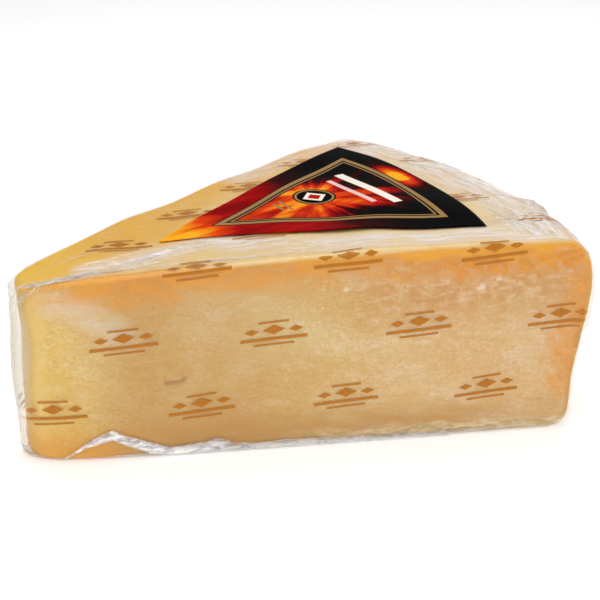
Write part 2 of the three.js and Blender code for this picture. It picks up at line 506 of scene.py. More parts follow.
# Small faults of the cut face: a place, half a length and half a width, a depth and a slope.
FAULTS = [
    ((61.0, -23.2, 24.8), 4.4, 0.7, 1.1, 12),
    ((33.0, -12.3, 32.5), 1.6, 0.3, 0.15, 20),
    ((157.9, -60.0, 46.7), 2.6, 0.35, 0.25, 58),
    ((148.2, -56.2, 15.0), 0.8, 0.5, 0.3, 0),
    ((166.9, -63.3, 10.7), 1.2, 0.8, 0.25, 0),
]
FAULT_REACH = 8.0

# Pale flecks on the cut face: a place and half a width.
FLECKS = [
    ((147.4, -55.9, 50.0), 1.5),
    ((109.0, -41.5, 51.5), 1.1),
    ((96.0, -36.5, 41.0), 0.9),
    ((152.0, -57.8, 52.6), 0.9),
]

# The waves of the broken grain.
GRAIN_SIZES = (19.0, 12.0, 8.0, 5.0, 3.6)
GRAIN_SHARE = 0.0022
GRAIN_SINK = 0.06
GRAIN_LIMIT = 0.04
GRAIN_APART = 50.0


def fleck_shares(points):
    share = np.zeros(len(points))
    for place, half_width in FLECKS:
        away = np.linalg.norm((points - place) * (1, 1, 1.4), axis=1)
        share = np.maximum(share, smooth_step(away / half_width, 1.2, 0.5))
    return share


def fault_depths(points):
    depth = np.zeros(len(points))
    for place, half_length, half_width, deepest, slope in FAULTS:
        slope = math.radians(slope)
        away = points - place
        right = away @ ALONG_FRONT
        length = right * math.cos(slope) + away[:, 2] * math.sin(slope)
        width = away[:, 2] * math.cos(slope) - right * math.sin(slope)
        far = (length / half_length) ** 2 + (width / half_width) ** 2
        near = np.linalg.norm(away, axis=1) < FAULT_REACH
        depth = np.maximum(depth, deepest * np.clip(1 - far, 0, 1) ** 0.5 * near)
    return depth


def grain(points):
    """Slow uneven waves of the broken grain, from a few turned sines."""
    draw = np.random.default_rng(SEED)
    total = np.zeros(len(points))
    for size in GRAIN_SIZES:
        for _ in range(3):
            way = unit(draw.normal(size=3))
            bend = unit(draw.normal(size=3))
            phase = draw.uniform(0, 2 * math.pi)
            sway = 1.3 * np.sin(2 * math.pi / (1.7 * size) * (points @ bend))
            total += size * np.sin(2 * math.pi / size * (points @ way) + phase + sway)
    return GRAIN_SHARE * total


def make_cheese():
    points, faces = closed_skin(cheese_field, CHEESE_STEPS)
    out = field_normals(points, cheese_field)
    sunk = fault_depths(points)
    off_base = smooth_step(points[:, 2], 1, 4)
    below_top = under_top(points)
    inside_rim = -outside_rim(points)
    rise = np.minimum(grain(points) - GRAIN_SINK, GRAIN_LIMIT)
    points = points + out * (rise * off_base - sunk)[:, None]
    piece = new_piece("cheese", points, faces, cheese_material())
    set_attributes(piece, sunk=np.clip(sunk / 0.5, 0, 1), fleck=fleck_shares(points),
                   below_top=below_top, inside_rim=inside_rim)


def cut_face_place(s):
    """The point along a cut, in from the cut, and its height, with the cuts' grain kept apart."""
    x, y, z = s.split(s.place())
    side = s.math("ABSOLUTE", y)
    along = s.plus(s.times(x, math.cos(HALF)), s.times(side, math.sin(HALF)))
    inward = s.minus(s.times(x, math.sin(HALF)), s.times(side, math.cos(HALF)))
    return along, s.plus(inward, s.times(s.math("SIGN", y), GRAIN_APART)), z


def cheese_fields(s):
    """What the cheese's colours go by: places in millimetres and noises from 0 to 1."""
    f = SimpleNamespace(at=s.place(), below_top=s.attribute("below_top"),
                        inside_rim=s.attribute("inside_rim"))
    f.x, _, f.z = s.split(f.at)
    f.along, f.inward, _ = cut_face_place(s)
    f.cloud = s.noise(f.at, 30, detail=2)
    bent = s.plus(f.z, s.times(s.minus(s.noise(f.at, 45, detail=1), 0.5), 14))

    def drawn_out(stretch, size, detail, roughness):
        return s.noise(s.join(s.times(f.along, stretch), f.inward, bent), size, detail, roughness)
    f.streak = drawn_out(0.4, 4.5, 4, 0.6)
    f.veins = drawn_out(0.3, 1.6, 3, 0.7)
    f.fine = drawn_out(0.6, 0.6, 3, 0.75)
    f.blotch = drawn_out(0.6, 10, 4, 0.6)
    f.grit = drawn_out(0.6, 0.8, 2, 0.6)
    f.ragged = s.times(s.minus(f.streak, 0.5), 16)
    crumbs = s.turned(s.join(f.along, f.inward, f.z), stretch=(1, 1, 0.6), turn=(0, 38, 0))
    f.patches = s.noise(crumbs, 3.6, detail=5, roughness=0.72)
    return f


def cut_colours(s, f):
    """The broken grain: pinker towards the rim, yellow at the tip with painted light on it, and browner
    next to it.
    """
    pinker = s.ramp(f.along, 100, 160)
    gritty = s.ramp(f.blotch, 0.36, 0.6, 0.25, 1.0)
    return s.layered(s.mix(s.ramp(f.cloud, 0.38, 0.62), CHEESE_PALE, CHEESE_TAN), [
        (CHEESE_PINK, 0.6, pinker),
        (CHEESE_YELLOW, 0.95, s.ramp(f.along, 56, 26), s.ramp(f.cloud, 0.2, 0.6, 0.6, 1.0)),
        (CHEESE_TAN, 0.35, s.ramp(f.streak, 0.48, 0.34)),
        (CHEESE_VEIN, 0.35, s.ramp(f.streak, 0.53, 0.68)),
        (CHEESE_ROSE, 0.55, s.ramp(f.blotch, 0.52, 0.64), s.ramp(pinker, 0, 1, 0.35, 1.0)),
        (CHEESE_TAN, 0.4, s.ramp(f.blotch, 0.47, 0.34)),
        (CHEESE_VEIN, 0.35, s.ramp(f.veins, 0.53, 0.7)),
        (CHEESE_BROWN, 0.2, s.ramp(f.veins, 0.46, 0.32)),
        (CHEESE_VEIN, 0.45, s.ramp(f.fine, 0.53, 0.68)),
        (CHEESE_BROWN, 0.3, s.ramp(f.fine, 0.47, 0.34)),
        (CHEESE_CRYSTAL, 0.24, s.ramp(f.grit, 0.54, 0.68), gritty),
        (CHEESE_BROWN, 0.24, s.ramp(f.grit, 0.46, 0.32), gritty),
        (CHEESE_BROWN, 0.46, s.ramp(f.along, 32, 54), s.ramp(f.along, 118, 80),
         s.ramp(f.cloud, 0.3, 0.6, 0.7, 1.0)),
        # Lighter yellow at the tip: partly its own colour, partly painted light against the shade of its
        # rounded end.
        (TIP_YELLOW_AND_PAINTED_LIGHT, 0.65, s.ramp(f.along, 31, 24)),
    ])


def orange_share(s, f):
    """Under the top edge, in ragged patches next to the rim, and at the foot of the tip."""
    depth = s.plus(f.below_top, f.ragged)
    band = s.times(0.8, s.ramp(depth, 14, 1.5), s.ramp(f.along, 26, 40, 0.3, 1.0))
    patchy = s.plus(f.patches, s.ramp(f.below_top, 17, 1, -0.22, 0.17))
    corner = s.times(s.ramp(f.along, 124, 154), s.ramp(patchy, 0.4, 0.6))
    foot_of_tip = s.times(0.6, s.ramp(f.along, 66, 36), s.ramp(s.plus(f.z, f.ragged), 14, 4))
    rim_gap = s.plus(f.inside_rim, s.times(s.minus(f.patches, 0.5), 30))
    by_rim = s.times(0.75, s.ramp(rim_gap, 14, 1), s.ramp(f.z, 5, 20))
    return s.largest(band, corner, foot_of_tip, by_rim)


def edge_colours(s, f, body):
    """Russet and orange under the top edge and by the rim, and browner along the foot."""
    cast = s.times(s.ramp(f.along, 106, 134), s.ramp(f.below_top, 32, 14))
    orange = orange_share(s, f)
    russet = s.ramp(s.plus(s.times(f.veins, 0.5), s.times(f.streak, 0.5)), 0.44, 0.58)
    low = s.plus(f.z, s.times(f.ragged, 0.5))
    return s.layered(body, [
        (CHEESE_RUSSET, cast, s.ramp(f.patches, 0.36, 0.6, 0.2, 0.62)),
        (CHEESE_ROSE, 0.5, cast, s.ramp(f.veins, 0.5, 0.64)),
        (s.layered(CHEESE_ORANGE, [(CHEESE_RUSSET, 0.5, russet)]), orange),
        (CHEESE_GOLD, 0.75, s.ramp(f.along, 96, 136), s.ramp(s.plus(f.below_top, f.ragged), 7, 2),
         s.ramp(f.below_top, 0.4, 2.0)),
        (CHEESE_ROSE, 0.3, orange, s.ramp(f.along, 118, 140), s.ramp(f.fine, 0.54, 0.66)),
        (CHEESE_BROWN, 0.8, s.ramp(low, 17, 5), s.ramp(f.along, 38, 70),
         s.ramp(f.along, 148, 172, 1.0, 0.45)),
        # Grey-green streaks at the very foot.
        (s.mix(s.ramp(f.veins, 0.4, 0.6), CHEESE_FOOT, CHEESE_VEIN), 0.75, s.ramp(low, 6, 3),
         s.ramp(f.along, 90, 125)),
    ])


def top_colours(s, f):
    """The flat of the wheel, deep orange towards the tip."""
    behind_front = s.vector("DOT_PRODUCT", f.at, (math.sin(HALF), math.cos(HALF), 0))
    pale = s.minus(f.x, s.times(behind_front, 1.2))
    pale = s.plus(pale, s.times(s.minus(f.cloud, 0.5), 60))
    turned = s.turned(f.at, stretch=(0.6, 1, 1), turn=(0, 0, 20))
    mottled = s.noise(turned, 5, detail=4, roughness=0.65)
    return s.layered(s.mix(s.ramp(pale, 14, 62), TOP_ORANGE, TOP_PALE), [
        (TOP_YELLOW, 0.8, s.ramp(f.x, 56, 40)),
        (CHEESE_ORANGE, 0.85, s.ramp(behind_front, 4, 2), s.ramp(f.along, 90, 60)),
        (TOP_ORANGE, 0.4, s.ramp(mottled, 0.52, 0.68)),
        (CHEESE_VEIN, s.ramp(f.x, 60, 120, 0.2, 0.5), s.ramp(mottled, 0.46, 0.32)),
        (CHEESE_VEIN, 0.3, s.ramp(f.fine, 0.5, 0.66)),
    ])


def rind_colours(s, f):
    scuffed = s.noise(s.turned(f.at, stretch=(1, 1, 0.7)), 6, detail=5, roughness=0.7)
    return s.layered(s.mix(s.ramp(scuffed, 0.4, 0.62), RIND_DARK, RIND), [
        (CHEESE_VEIN, 0.25, s.ramp(scuffed, 0.56, 0.74)),
        (RIND_DARK, 0.35, s.ramp(f.fine, 0.55, 0.4)),
    ])


def crystal_share(s, f):
    """Small pale crystals, in clusters."""
    shaken = s.node("ShaderNodeTexNoise", {"Vector": f.at, "Scale": 1.6, "Detail": 2.0})
    scattered = s.vector("MULTIPLY_ADD", shaken.outputs["Color"], (0.7, 0.7, 0.7), f.at)
    cells = s.node("ShaderNodeTexVoronoi", {"Vector": scattered, "Scale": 1 / 1.5, "Randomness": 1.0})
    chosen = s.ramp(s.split(cells.outputs["Color"])[0], 0.6, 0.66)
    clustered = s.ramp(s.noise(f.at, 16, detail=1), 0.46, 0.62, 0.1, 1.0)
    clustered = s.times(clustered, s.ramp(f.along, 60, 120, 0.35, 1.0))
    return s.times(0.6, s.ramp(cells.outputs["Distance"], 0.2, 0.06), chosen, clustered)


def cheese_material():
    s = Shade("cheese")
    f = cheese_fields(s)
    body = s.layered(edge_colours(s, f, cut_colours(s, f)), [
        (top_colours(s, f), 0.95, s.ramp(f.below_top, 1.9, 0.5)),
        (rind_colours(s, f), 0.9, s.ramp(f.inside_rim, 3.0, 0.8)),
        (CHEESE_CRYSTAL, crystal_share(s, f)),
        (CHEESE_CRYSTAL, 0.75, s.attribute("fleck"), s.ramp(f.fine, 0.3, 0.55)),
        # Painted shade in the sunk faults, darker where they are deeper.
        (PAINTED_HOLLOW_SHADE, 0.7, s.attribute("sunk")),
    ])
    return s.principled({
        "Base Color": body,
        "Roughness": s.ramp(f.fine, 0.3, 0.8, 0.5, 0.7),
        "Subsurface Weight": 0.12,
        "Subsurface Radius": (1.0, 0.5, 0.22),
        "Subsurface Scale": 0.002,
        "Specular IOR Level": 0.3,
        "Normal": s.bump(s.plus(s.times(f.fine, 0.4), s.times(f.streak, 0.9)), 0.3, 0.0005),
    })


# ---- the film -----------------------------------------------------------------------------------

# The main creases: a height, a width, how slack the film is round them, and a line.
MAIN_CREASES = [
    # The fold along the tip half of the top front edge, and the two that run beside it.
    (1.0, 1.4, 0.9, [(24, -5, 56), (32, -8.3, 57), (43, -10.7, 58), (59, -12.7, 59), (76, -11.8, 61),
                     (86, -14.5, 61)]),
    (0.5, 1.2, 0.6, [(35, -2.3, 57.8), (47.4, -3.6, 58.8), (57.4, -2.4, 59.7), (66.6, -2.4, 60.4)]),
    (0.6, 1.3, 0.8, [(40, -7, 58), (52, -8, 59), (66, -7.5, 60), (80, -8.6, 61.5)]),
    # The long fine lines just behind the top front edge.
    (0.3, 0.8, 0.25, [(56.5, -15.7, 59.8), (71, -22.1, 60.9), (89.7, -30.2, 62.1), (110.7, -39.2, 63)]),
    (0.5, 1.0, 0.6, [(84, -13.5, 61.6), (94, -21, 62), (103, -28, 62.5), (113, -37, 63)]),
    # The slack film down the tip.
    (0.9, 2.6, 0.0, [(20.5, -2.5, 53), (20, -3, 47), (20, -3, 41), (20.5, -3, 37)]),
    # Long creases over the rim half of the top.
    (0.55, 1.0, 0.6, [(170, -30, 64), (171, -42, 64), (170, -54, 64), (171, -65, 62.5)]),
    (0.5, 1.0, 0.5, [(160, -36, 64), (168, -42, 64), (177, -47, 63.5), (184, -50, 60)]),
    (0.5, 1.0, 0.5, [(172, 20, 64), (174, 0, 64), (172, -18, 64), (166, -34, 64)]),
]

# Small creases that set out from an edge: how many, how long, how high, how far they turn from
# the straight way in over the face, and how slack the film is round them.
EDGE_CREASES = [
    ("rim_top", 18, (7, 26), (0.15, 0.4), 0.7, 0.25),
    ("back_top", 24, (4, 16), (0.05, 0.16), 0.9, 0.2),
    ("front_top", 16, (3, 9), (0.08, 0.2), 1.2, 0.2),
    ("tip", 8, (3, 12), (0.1, 0.25), 1.0, 0.1),
    ("rim_foot", 26, (5, 18), (0.15, 0.4), 0.6, 0.4),
    ("back_foot", 18, (5, 20), (0.15, 0.4), 1.2, 0.4),
]
FOOT_STREAKS = 22

# Soft milky stretches of the film, partly painted glare and highlights where it catches the light:
# how far they reach to their sides, how milky they are, and a line over the top.
MILK_AND_GLARE_ZONES = [
    (5.0, 0.75, [(42, -7.5, 58.4), (50, -7.8, 59.2), (60, -8, 60), (78, -9.5, 61.5), (92, -17, 62.5)]),
    (6.5, 0.68, [(84, -14, 61.5), (100, -27, 62.5), (118, -36.5, 63), (140, -45, 63.5), (158, -51, 64)]),
    (7.0, 0.5, [(112, 38, 62.8), (131, 45.5, 63.4), (152, 53.5, 64), (172, 60.5, 63.6)]),
    (13.0, 0.8, [(170, 56, 62), (178, 30, 63), (180, 0, 63), (179, -26, 63), (174, -44, 63),
                 (166, -58, 63)]),
]

# Loose film is crumpled, and the film over the rim swells and has a step half of the way up.
CRUMPLE_SIZE = 9.0
CRUMPLE_DEPTH = 0.3
SWELL_SIZE = 14.0
SWELL_DEPTH = 0.35
STEP_HEIGHTS = (33.2, 34.6)
STEP_DEPTH = 0.9

# How far a crease walks at a time, and how low the film may come to the ground.
WALK_STEP = 0.8
FILM_LOWEST = 0.02

# A faint smear under the top edge of the front.
SMEAR_PATH = [(30.0, -11.4, 51.0), (38.0, -14.4, 48.0), (47.0, -17.9, 42.0)]
SMEAR_REACH = 5.0
SMEAR_MILK = 0.3


def resample(path, step=0.5):
    path = np.asarray(path, float)
    spans = np.linalg.norm(np.diff(path, axis=0), axis=1)
    run = np.concatenate([[0], np.cumsum(spans)])
    at = np.linspace(0, run[-1], max(int(run[-1] / step), 2) + 1)
    return np.stack([np.interp(at, run, path[:, k]) for k in range(3)], axis=1)


def smooth_path(path):
    """A rounded line through given points, brought down onto the pack."""
    line = resample(path, 2.0)
    for _ in range(4):
        line[1:-1] = (line[:-2] + 2 * line[1:-1] + line[2:]) / 4
    return onto_surface(resample(line))


def steered(way, out, angle):
    """A way laid flat on the film, which faces out, and turned in it by an angle."""
    flat = unit(way - out * (way @ out))
    return flat * math.cos(angle) + np.cross(out, flat) * math.sin(angle)


def walk(start, way, length, wander, draw):
    """A line that sets out from start along way and wanders over the pack."""
    points = [start]
    turn = draw.normal(scale=wander)
    for _ in range(max(int(length / WALK_STEP), 3)):
        here = points[-1][None]
        turn = 0.8 * turn + draw.normal(scale=wander)
        way = steered(way, field_normals(here)[0], turn)
        onward = here + way * WALK_STEP
        points.append((onward - field_normals(onward) * pack_field(onward)[:, None])[0])
    return resample(points)


def edge_lines():
    """The pack's edges as lines, where creases start."""
    radii = np.linspace(24, 190, 90)
    angles = np.linspace(-HALF, HALF, 60)
    rim = np.stack([np.cos(angles), np.sin(angles)], axis=1)

    def cut_edge(angle, heights):
        return np.stack([radii * math.cos(angle), radii * math.sin(angle), heights], axis=1)
    return {
        "front_top": cut_edge(-HALF, top_height(radii)),
        "back_top": cut_edge(HALF, top_height(radii)),
        "back_foot": cut_edge(HALF, np.full(90, 1.0)),
        "rim_top": np.column_stack([192 * rim, np.full(60, 61.0)]),
        "rim_foot": np.column_stack([189 * rim, np.full(60, 2.0)]),
        "tip": np.stack([np.full(40, 20.0), np.zeros(40), np.linspace(4, 54, 40)], axis=1),
    }


def edge_creases(draw):
    edges = edge_lines()
    middle = np.array([MIDDLE_X, 0.0, TOP_HEIGHT / 2])
    creases = []
    for name, count, lengths, heights, turn, slack in EDGE_CREASES:
        edge = edges[name]
        for _ in range(count):
            start = edge[draw.integers(len(edge))] + draw.normal(scale=1.5, size=3)
            start = onto_surface(start[None])[0]
            inward = (middle - start) * (1, 1, 1 if draw.random() < 0.5 else 0)
            way = steered(inward, field_normals(start[None])[0], draw.normal(scale=turn))
            line = walk(start, way, draw.uniform(*lengths), 0.05, draw)
            height = draw.uniform(*heights)
            creases.append((line, height, 0.7 + 0.9 * height, slack))
    return creases


def foot_streaks(draw):
    """Fine long creases that run along the foot of the front face."""
    streaks = []
    for _ in range(FOOT_STREAKS):
        radius = draw.uniform(55, 180)
        start = radius * ALONG_FRONT + (0, 0, draw.uniform(1.2, 8.0))
        way = ALONG_FRONT + (0, 0, draw.normal(scale=0.05))
        line = walk(onto_surface(start[None])[0], way, draw.uniform(12, 42), 0.015, draw)
        streaks.append((line, draw.uniform(0.08, 0.2), 0.8, 0.12))
    return streaks


def film_creases():
    """Pinched ridges of the film: a line, a height, a width, and how slack the film is round it."""
    draw = np.random.default_rng(SEED)
    main = [(smooth_path(path), height, width, slack) for height, width, slack, path in MAIN_CREASES]
    return main + edge_creases(draw) + foot_streaks(draw)


def crease_lift(points, creases):
    """How far the creases lift each point, and how slack the film is there."""
    lift = np.zeros(len(points))
    slack = np.zeros(len(points))
    for line, height, width, looseness in creases:
        reach = 4 * width
        above, below = line.max(axis=0) + reach, line.min(axis=0) - reach
        index = np.flatnonzero(((points > below) & (points < above)).all(axis=1))
        if not len(index):
            continue
        gaps = np.linalg.norm(points[index, None, :] - line[None, :, :], axis=2)
        nearest = gaps.argmin(axis=1)
        gap = gaps[np.arange(len(index)), nearest]
        share = nearest / (len(line) - 1)
        fade = smooth_step(np.minimum(share, 1 - share), -0.02, 0.25)
        ridge = height * fade * np.clip(1 - gap / width, 0, 1) ** 1.6
        lift[index] = np.maximum(lift[index], ridge) + 0.3 * np.minimum(lift[index], ridge)
        around = looseness * fade * np.exp(-(gap / (2 * width)) ** 2)
        slack[index] = np.maximum(slack[index], around)
    return lift, slack


def crumple(points, size, seed):
    """Facets of crumpled film: how far each point is from the ridges between random cells."""
    draw = np.random.default_rng(seed)
    total = np.zeros(len(points))
    for _ in range(5):
        way = unit(draw.normal(size=3))
        bend = draw.normal(size=3)
        phase = draw.uniform(0, 2 * math.pi)
        wave = points @ way / size + 0.35 * np.sin(points @ bend / (1.6 * size) + phase)
        total += np.abs(2 * (wave - np.floor(wave + 0.5)))
    return total / 5


def nearness(points, path, reach):
    """1 on a line, falling smoothly to 0 at one and a half times its reach."""
    gap = np.full(len(points), np.inf)
    for place in onto_surface(resample(path, 2.0)):
        gap = np.minimum(gap, np.linalg.norm(points - place, axis=1))
    return smooth_step(gap / reach, 1.5, 0.2)


# How milky the film is, partly painted glare and highlights, along its stretches and the smear.
def milk_share(points):
    zones = [milk * nearness(points, path, reach) for reach, milk, path in MILK_AND_GLARE_ZONES]
    in_from_front, _ = in_from_cuts(points)
    over_top = np.max(zones, axis=0) * smooth_step(in_from_front, 0.2, 2.0)
    return np.maximum(over_top, SMEAR_MILK * nearness(points, SMEAR_PATH, SMEAR_REACH))


def loose_zones(points):
    """Where the film isn't drawn tight: over the rim's shoulder, and a little along the foot."""
    x, y, z = points.T
    in_from_front, _ = in_from_cuts(points)
    shoulder = smooth_step(np.hypot(x, y), 160, 184) * smooth_step(z, 52, 62)
    shoulder = shoulder * smooth_step(in_from_front, 1, 9)
    foot = smooth_step(z, 6, 2) * smooth_step(z, 0.2, 1.5)
    return np.clip(0.8 * shoulder + 0.15 * foot, 0, 1)


def rim_swell(points):
    """The film over the rim: slight swells, and a step in the front corner."""
    z = points[:, 2]
    in_from_front, _ = in_from_cuts(points)
    near_rim = smooth_step(outside_rim(points), -5, -1) * smooth_step(z, 3, 10)
    swells = SWELL_DEPTH * crumple(points, SWELL_SIZE, SEED + 2) * smooth_step(z, 58, 46)
    step = STEP_DEPTH * smooth_step(z, *STEP_HEIGHTS) * smooth_step(z, 54, 40)
    step = step * smooth_step(in_from_front, 12, 2)
    return near_rim * (swells + step)


def bare_places(points):
    """1 where the film has no print: along the top back edge, on the tip and by the rim's corner."""
    in_from_front, in_from_back = in_from_cuts(points)
    depth = under_top(points)
    back_edge = smooth_step(np.maximum(in_from_back / 2, depth), 4.0, 2.5)
    top_of_tip = smooth_step(depth, 4.0, 2.5) * smooth_step(points[:, 0], 43, 41)
    rim_corner = smooth_step(outside_rim(points), -1.6, -0.6) * smooth_step(in_from_front, 22, 18)
    return np.max([back_edge, top_of_tip, rim_corner], axis=0)


def print_map(points, normals):
    """Where each point lies on the film's print, unfolded from the front over its edges."""
    x, y, z = points.T
    in_from_front, _ = in_from_cuts(points)
    along_front = x * math.cos(HALF) - y * math.sin(HALF)
    along_back = x * math.cos(HALF) + y * math.sin(HALF)
    round_rim = rim_radius(z) + (np.arctan2(y, x) + HALF) * WHEEL_RADIUS
    over_edge = top_height(np.minimum(along_front, RIM_RADIUS_AT_BASE)) + in_from_front
    ways, u, v = zip(
        ((-math.sin(HALF), -math.cos(HALF), 0), along_front, z),
        ((-math.sin(HALF), math.cos(HALF), 0), along_back, z),
        ((0, 0, 1), along_front, over_edge),
        ((0, 0, -1), along_back, -in_from_front),
        ((1, 0, 0), round_rim, z),
    )
    side = (normals @ np.transpose(ways)).argmax(axis=1)
    return np.stack([np.choose(side, u), np.choose(side, v)], axis=1)


def make_film():
    points, faces = closed_skin(pack_field, FILM_STEPS)
    lift, slack = crease_lift(points, film_creases())
    loose = loose_zones(points)
    clear_of_tip = smooth_step(beyond_tip(points), -1.5, 1.5)
    crumpled = CRUMPLE_DEPTH * loose * crumple(points, CRUMPLE_SIZE, SEED + 1)
    lift = lift + crumpled + rim_swell(points)
    off_base = smooth_step(points[:, 2], 0.3, 2.5)
    points = points + field_normals(points) * (lift * off_base)[:, None]
    points[:, 2] = np.maximum(points[:, 2], FILM_LOWEST)
    piece = new_piece("film", points, faces, film_material())
    set_attributes(piece, slack=np.clip(slack, 0, 1), loose=loose, milk=milk_share(points),
                   clear_of_tip=clear_of_tip, inkless=np.maximum(clear_of_tip, bare_places(points)))
    set_corner_map(piece, "print", print_map)


INK = linear(184, 112, 0)
HAZE = linear(253, 248, 243)
HAZE_AT_TIP = linear(222, 214, 200)


def lozenge(s, place, centre, half_width, half_height):
    """1 inside a lozenge, 0 outside."""
    across = s.over(s.away(place[0], centre[0]), half_width)
    upward = s.over(s.away(place[1], centre[1]), half_height)
    return s.ramp(s.plus(across, upward), 1.06, 0.94)


def bar(s, place, centre, half_width, half_height):
    """1 inside a bar, 0 outside."""
    across = s.minus(s.away(place[0], centre[0]), half_width)
    upward = s.minus(s.away(place[1], centre[1]), half_height)
    return s.ramp(s.largest(across, upward), 0.08, -0.08)


def disc(s, place, centre, radius):
    """1 inside a disc, 0 outside."""
    away = s.vector("DISTANCE", s.join(*place), (*centre, 0))
    return s.ramp(away, radius + 0.1, radius - 0.1)


def print_mask(s):
    """A brick layout of one motif: a short bar, a row of three lozenges and two longer bars."""
    at = s.node("ShaderNodeUVMap", uv_map="print").outputs["UV"]
    u, v, _ = s.split(s.vector("SUBTRACT", at, (*PRINT_SHIFT, 0)))
    row = s.math("FLOOR", s.over(v, PRINT_ROW))
    shift = s.times(s.math("FLOORED_MODULO", row, 2.0), PRINT_SPACING / 2)
    cell_u = s.minus(s.math("FLOORED_MODULO", s.plus(u, shift), PRINT_SPACING), PRINT_SPACING / 2)
    cell_v = s.minus(s.math("FLOORED_MODULO", v, PRINT_ROW), PRINT_ROW / 2)
    leaning = s.times(cell_u, math.tan(math.radians(PRINT_TILT)))
    cell = (cell_u, s.minus(cell_v, leaning))
    return s.largest(
        bar(s, cell, (0, 3.5), 4.5, 0.32),
        lozenge(s, cell, (0, 1.0), 3.4, 1.6),
        lozenge(s, cell, (-6.6, 0.8), 2.2, 1.0),
        lozenge(s, cell, (6.6, 0.8), 2.2, 1.0),
        bar(s, cell, (0, -1.9), 10.0, 0.5),
        bar(s, cell, (0, -3.7), 6.0, 0.3),
    )


def film_layer(s, opaque, colour, normal, roughness=0.14, shine=1.0, most=0.5, through=0.0):
    """Clear film with a share of opaque colour, some of it lit through, and a limited shine."""
    veil = s.node("ShaderNodeBsdfPrincipled", {
        "Base Color": colour,
        "Roughness": 0.6,
        "Specular IOR Level": 0.05,
        "Normal": normal,
    })
    if through > 0:
        lit = s.node("ShaderNodeBsdfTranslucent", {"Color": colour, "Normal": normal})
        veil = s.mixed(through, veil, lit)
    clear = s.node("ShaderNodeBsdfTransparent", {"Color": (0.99, 0.99, 0.985, 1)})
    gloss = s.node("ShaderNodeBsdfGlossy", {"Color": WHITE, "Roughness": roughness, "Normal": normal})
    fresnel = s.node("ShaderNodeFresnel", {"IOR": 1.4, "Normal": normal}).outputs[0]
    reflected = s.least(s.times(fresnel, shine), most)
    return s.finish(s.mixed(reflected, s.mixed(opaque, clear, veil), gloss))


def film_fields(s):
    """What the film's look goes by: places in millimetres, and masks and noises from 0 to 1."""
    f = SimpleNamespace(at=s.place(), slack=s.attribute("slack"), loose=s.attribute("loose"),
                        clear_of_tip=s.attribute("clear_of_tip"))
    x, y, f.z = s.split(f.at)
    along, inward, _ = cut_face_place(s)
    radius = s.math("SQRT", s.plus(s.times(x, x), s.times(y, y)))
    around = s.times(s.math("ARCTAN2", y, x), WHEEL_RADIUS)
    by_rim = s.ramp(f.loose, 0.02, 0.3)
    with_cuts = s.join(s.times(along, 0.2), inward, f.z)
    with_rim = s.join(radius, s.times(around, 0.2), f.z)

    def drawn_out(cut_size, rim_size, **look):
        """A noise that runs with the cuts, and with the rim where the film is loose."""
        return s.blend(by_rim, s.noise(with_cuts, cut_size, **look), s.noise(with_rim, rim_size, **look))
    f.lengthwise = drawn_out(3.0, 3.4, detail=3, distortion=0.5)
    f.drawn = drawn_out(2.4, 2.6, detail=4, roughness=0.6)
    return f


def film_wrinkle(s, f):
    """Long wrinkles that run with the cuts, and crossed ones where the film is loose."""
    def ridged(value, width):
        """Thin ridges where a noise crosses its middle."""
        return s.ramp(s.away(value, 0.5), width, 0.0)
    crossed = ridged(s.noise(f.at, 12, detail=2, distortion=0.8), 0.03)
    wrinkle = s.largest(ridged(f.lengthwise, 0.12), s.times(f.loose, crossed))
    return s.times(wrinkle, s.minus(1.0, f.clear_of_tip))


def film_haze(s, f, wrinkle):
    """Milky and painted glare in its stretches, milky where creased, and grey where it is clear of the
    tip.
    """
    drawn = s.ramp(f.drawn, 0.3, 0.66, 0.35, 1.0)
    broad = s.ramp(s.noise(f.at, 22, detail=2), 0.3, 0.6, 0.6, 1.0)
    # The milky stretches, partly painted glare and highlights.
    milky = s.times(s.attribute("milk"), drawn, broad)
    creased = s.times(f.slack, s.ramp(wrinkle, 0.2, 0.9, 0.08, 0.4))
    upright = s.noise(s.turned(f.at, stretch=(1, 1, 0.15)), 1.2, detail=3)
    at_tip = s.times(f.clear_of_tip, s.ramp(f.z, 0.8, 6), s.ramp(upright, 0.3, 0.7, 0.36, 0.46))
    return s.largest(creased, milky, at_tip, 0.012)


def film_material():
    s = Shade("film")
    f = film_fields(s)
    wrinkle = film_wrinkle(s, f)
    inked = s.times(print_mask(s), s.minus(1.0, s.attribute("inkless")))
    worn = s.ramp(s.noise(f.at, 0.9, detail=2), 0.28, 0.5, 0.6, 0.9)
    opaque = s.largest(film_haze(s, f, wrinkle), s.times(inked, worn))
    colour = s.mix(f.clear_of_tip, HAZE, HAZE_AT_TIP)
    colour = s.mix(s.ramp(inked, 0.0, 0.15), colour, INK)
    strength = s.math("MULTIPLY_ADD", s.largest(f.slack, s.times(f.loose, 0.6)), 0.8, 0.06)
    normal = s.bump(s.times(wrinkle, strength), 0.5, 0.0005)
    return film_layer(s, opaque, colour, normal, shine=0.65, most=0.3)


# ---- loose folds of film ------------------------------------------------------------------------

# The flap that is folded up over the foot of the front face: distances along the front face, the
# heights of its upper and its lower edge above the base, and how milky it is.
FLAP_ALONG = (31, 38, 46, 50, 57, 63, 70, 77, 83, 103, 128, 150)
FLAP_TOP = (1.8, 6.6, 10.4, 8.6, 5.6, 3.0, 3.6, 5.8, 3.4, 3.0, 2.4, 1.6)
FLAP_LOW = (0.9, 4.6, 6.6, 4.6, 1.2, 0.5, 0.4, 0.4, 0.4, 0.4, 0.5, 0.6)
FLAP_MILK = (0.5, 0.6, 0.7, 0.8, 0.8, 0.7, 0.6, 0.6, 0.45, 0.35, 0.25, 0.1)
FLAP_LOWEST = 0.05

# Painted shade and painted light of the folds' crinkles, laid on with the same noise as their bumps.
FOLD_SHADE = linear(240, 230, 226)
FOLD_LIGHT = linear(255, 252, 246)
FLAP_SHADE = linear(216, 221, 234)
FLAP_LIGHT = linear(255, 254, 252)
